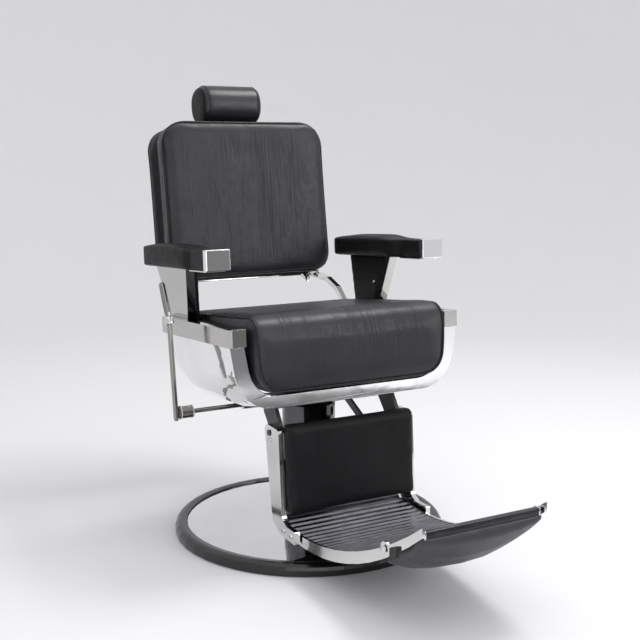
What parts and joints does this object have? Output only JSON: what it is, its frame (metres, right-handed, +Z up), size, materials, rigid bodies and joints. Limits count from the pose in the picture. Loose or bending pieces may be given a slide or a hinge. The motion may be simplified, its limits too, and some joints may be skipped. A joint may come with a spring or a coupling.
{
  "type": "hydraulic barber chair",
  "caption": "Reclining barber chair on a round base with a pump column, arms, headrest, swinging leg rest and ribbed foot tray with a turn-over calf pad.",
  "frame": {"origin": "on the floor at the centre of the round base, on the swivel axis", "axes": "+Z up, the sitter faces -Y, the sitter's left is +X"},
  "size_m": [0.6925, 1.24, 1.1085],
  "materials": {
    "chrome": "mirror-polished chrome plate",
    "leather": "black upholstery leather, soft sheen",
    "rubber": "smooth black rubber",
    "steel": "satin black paint",
    "aluminium": "satin ribbed casting",
    "board": "black-stained plywood"
  },
  "bodies": {
    "base": {"base_plate": "steel", "base_cover": "chrome", "base_rim": "rubber", "pump_cylinder": "steel", "gland_nut": "steel"},
    "ram": {"piston_rod": "steel", "lift_sleeve": "chrome", "thrust_bearing": "steel"},
    "seat": {"seat_hub": "steel", "seat_plate": "steel", "leg_hinge_frame": "steel", "leg_shaft": "steel", "back_bearing_left": "steel", "back_bearing_right": "steel", "lever_bearing": "chrome", "seat_frame": "steel", "cushion_board": "board", "front_band": "chrome", "side_rail_left": "chrome", "side_rail_right": "chrome", "side_skirt_left": "chrome", "side_skirt_right": "chrome", "side_infill_left": "leather", "side_infill_right": "leather", "seat_cushion": "leather", "arm_post_left": "chrome", "arm_post_right": "chrome", "arm_trim_left": "leather", "arm_trim_right": "leather", "arm_pad_left": "leather", "arm_pad_right": "leather", "arm_cap_left": "chrome", "arm_cap_right": "chrome"},
    "backrest": {"back_cushion": "leather", "back_board": "board", "back_shell": "leather", "headrest_socket": "steel", "back_arm_left": "chrome", "back_arm_right": "chrome", "recline_shaft": "steel"},
    "headrest_post": {"headrest_bar": "chrome", "headrest_pivot": "steel"},
    "headrest": {"headrest_cushion": "leather"},
    "release": {"release_lever": "chrome"},
    "legrest": {"leg_bar_left": "chrome", "leg_bar_right": "chrome", "leg_pad": "leather", "leg_board": "steel", "foot_tray": "aluminium", "tray_cheek_left": "chrome", "tray_cheek_right": "chrome", "flip_stop_left": "rubber", "flip_stop_right": "rubber"},
    "calf_pad": {"flip_board": "aluminium", "flip_cushion": "leather"},
    "side_lever": {"lever_shaft": "chrome", "lever_bar": "chrome", "lever_grip": "rubber"},
    "link": {"recline_link": "steel"}
  },
  "joints": [
    {"name": "lift", "type": "slide", "parent": "base", "child": "ram", "axis": [0, 0, 1], "range_m": [0, 0.16]},
    {"name": "swivel", "type": "hinge", "parent": "ram", "child": "seat", "pos_m": [0, 0, 0.338], "axis": [0, 0, 1], "continuous": true},
    {"name": "recline", "type": "hinge", "parent": "seat", "child": "backrest", "pos_m": [0, 0.235, 0.5], "axis": [-1, 0, 0], "range_deg": [0, 45]},
    {"name": "headrest_height", "type": "slide", "parent": "backrest", "child": "headrest_post", "axis": [0, 0.1461, 0.9893], "range_m": [0, 0.1]},
    {"name": "headrest_tilt", "type": "hinge", "parent": "headrest_post", "child": "headrest", "pos_m": [0, 0.47214, 1.05624], "axis": [-1, 0, 0], "range_deg": [-20, 20]},
    {"name": "release", "type": "hinge", "parent": "backrest", "child": "release", "pos_m": [0.17, 0.352, 0.5925], "axis": [1, 0, 0], "range_deg": [0, 20]},
    {"name": "legrest_swing", "type": "hinge", "parent": "seat", "child": "legrest", "pos_m": [0, -0.145, 0.3], "axis": [-1, 0, 0], "range_deg": [0, 45]},
    {"name": "calf_pad_flip", "type": "hinge", "parent": "legrest", "child": "calf_pad", "pos_m": [0, -0.592, 0.17], "axis": [-1, 0, 0], "range_deg": [0, 140]},
    {"name": "lever_swing", "type": "hinge", "parent": "seat", "child": "side_lever", "pos_m": [-0.3, -0.005, 0.336], "axis": [1, 0, 0], "range_deg": [-20, 25]},
    {"name": "link_pivot", "type": "hinge", "parent": "backrest", "child": "link", "pos_m": [0, 0.27743, 0.45757], "axis": [-1, 0, 0], "range_deg": [-45, 0]}
  ],
  "couplings": [
    {"joint": "legrest_swing", "follows": "recline", "ratio": 1},
    {"joint": "link_pivot", "follows": "recline", "ratio": -1}
  ]
}
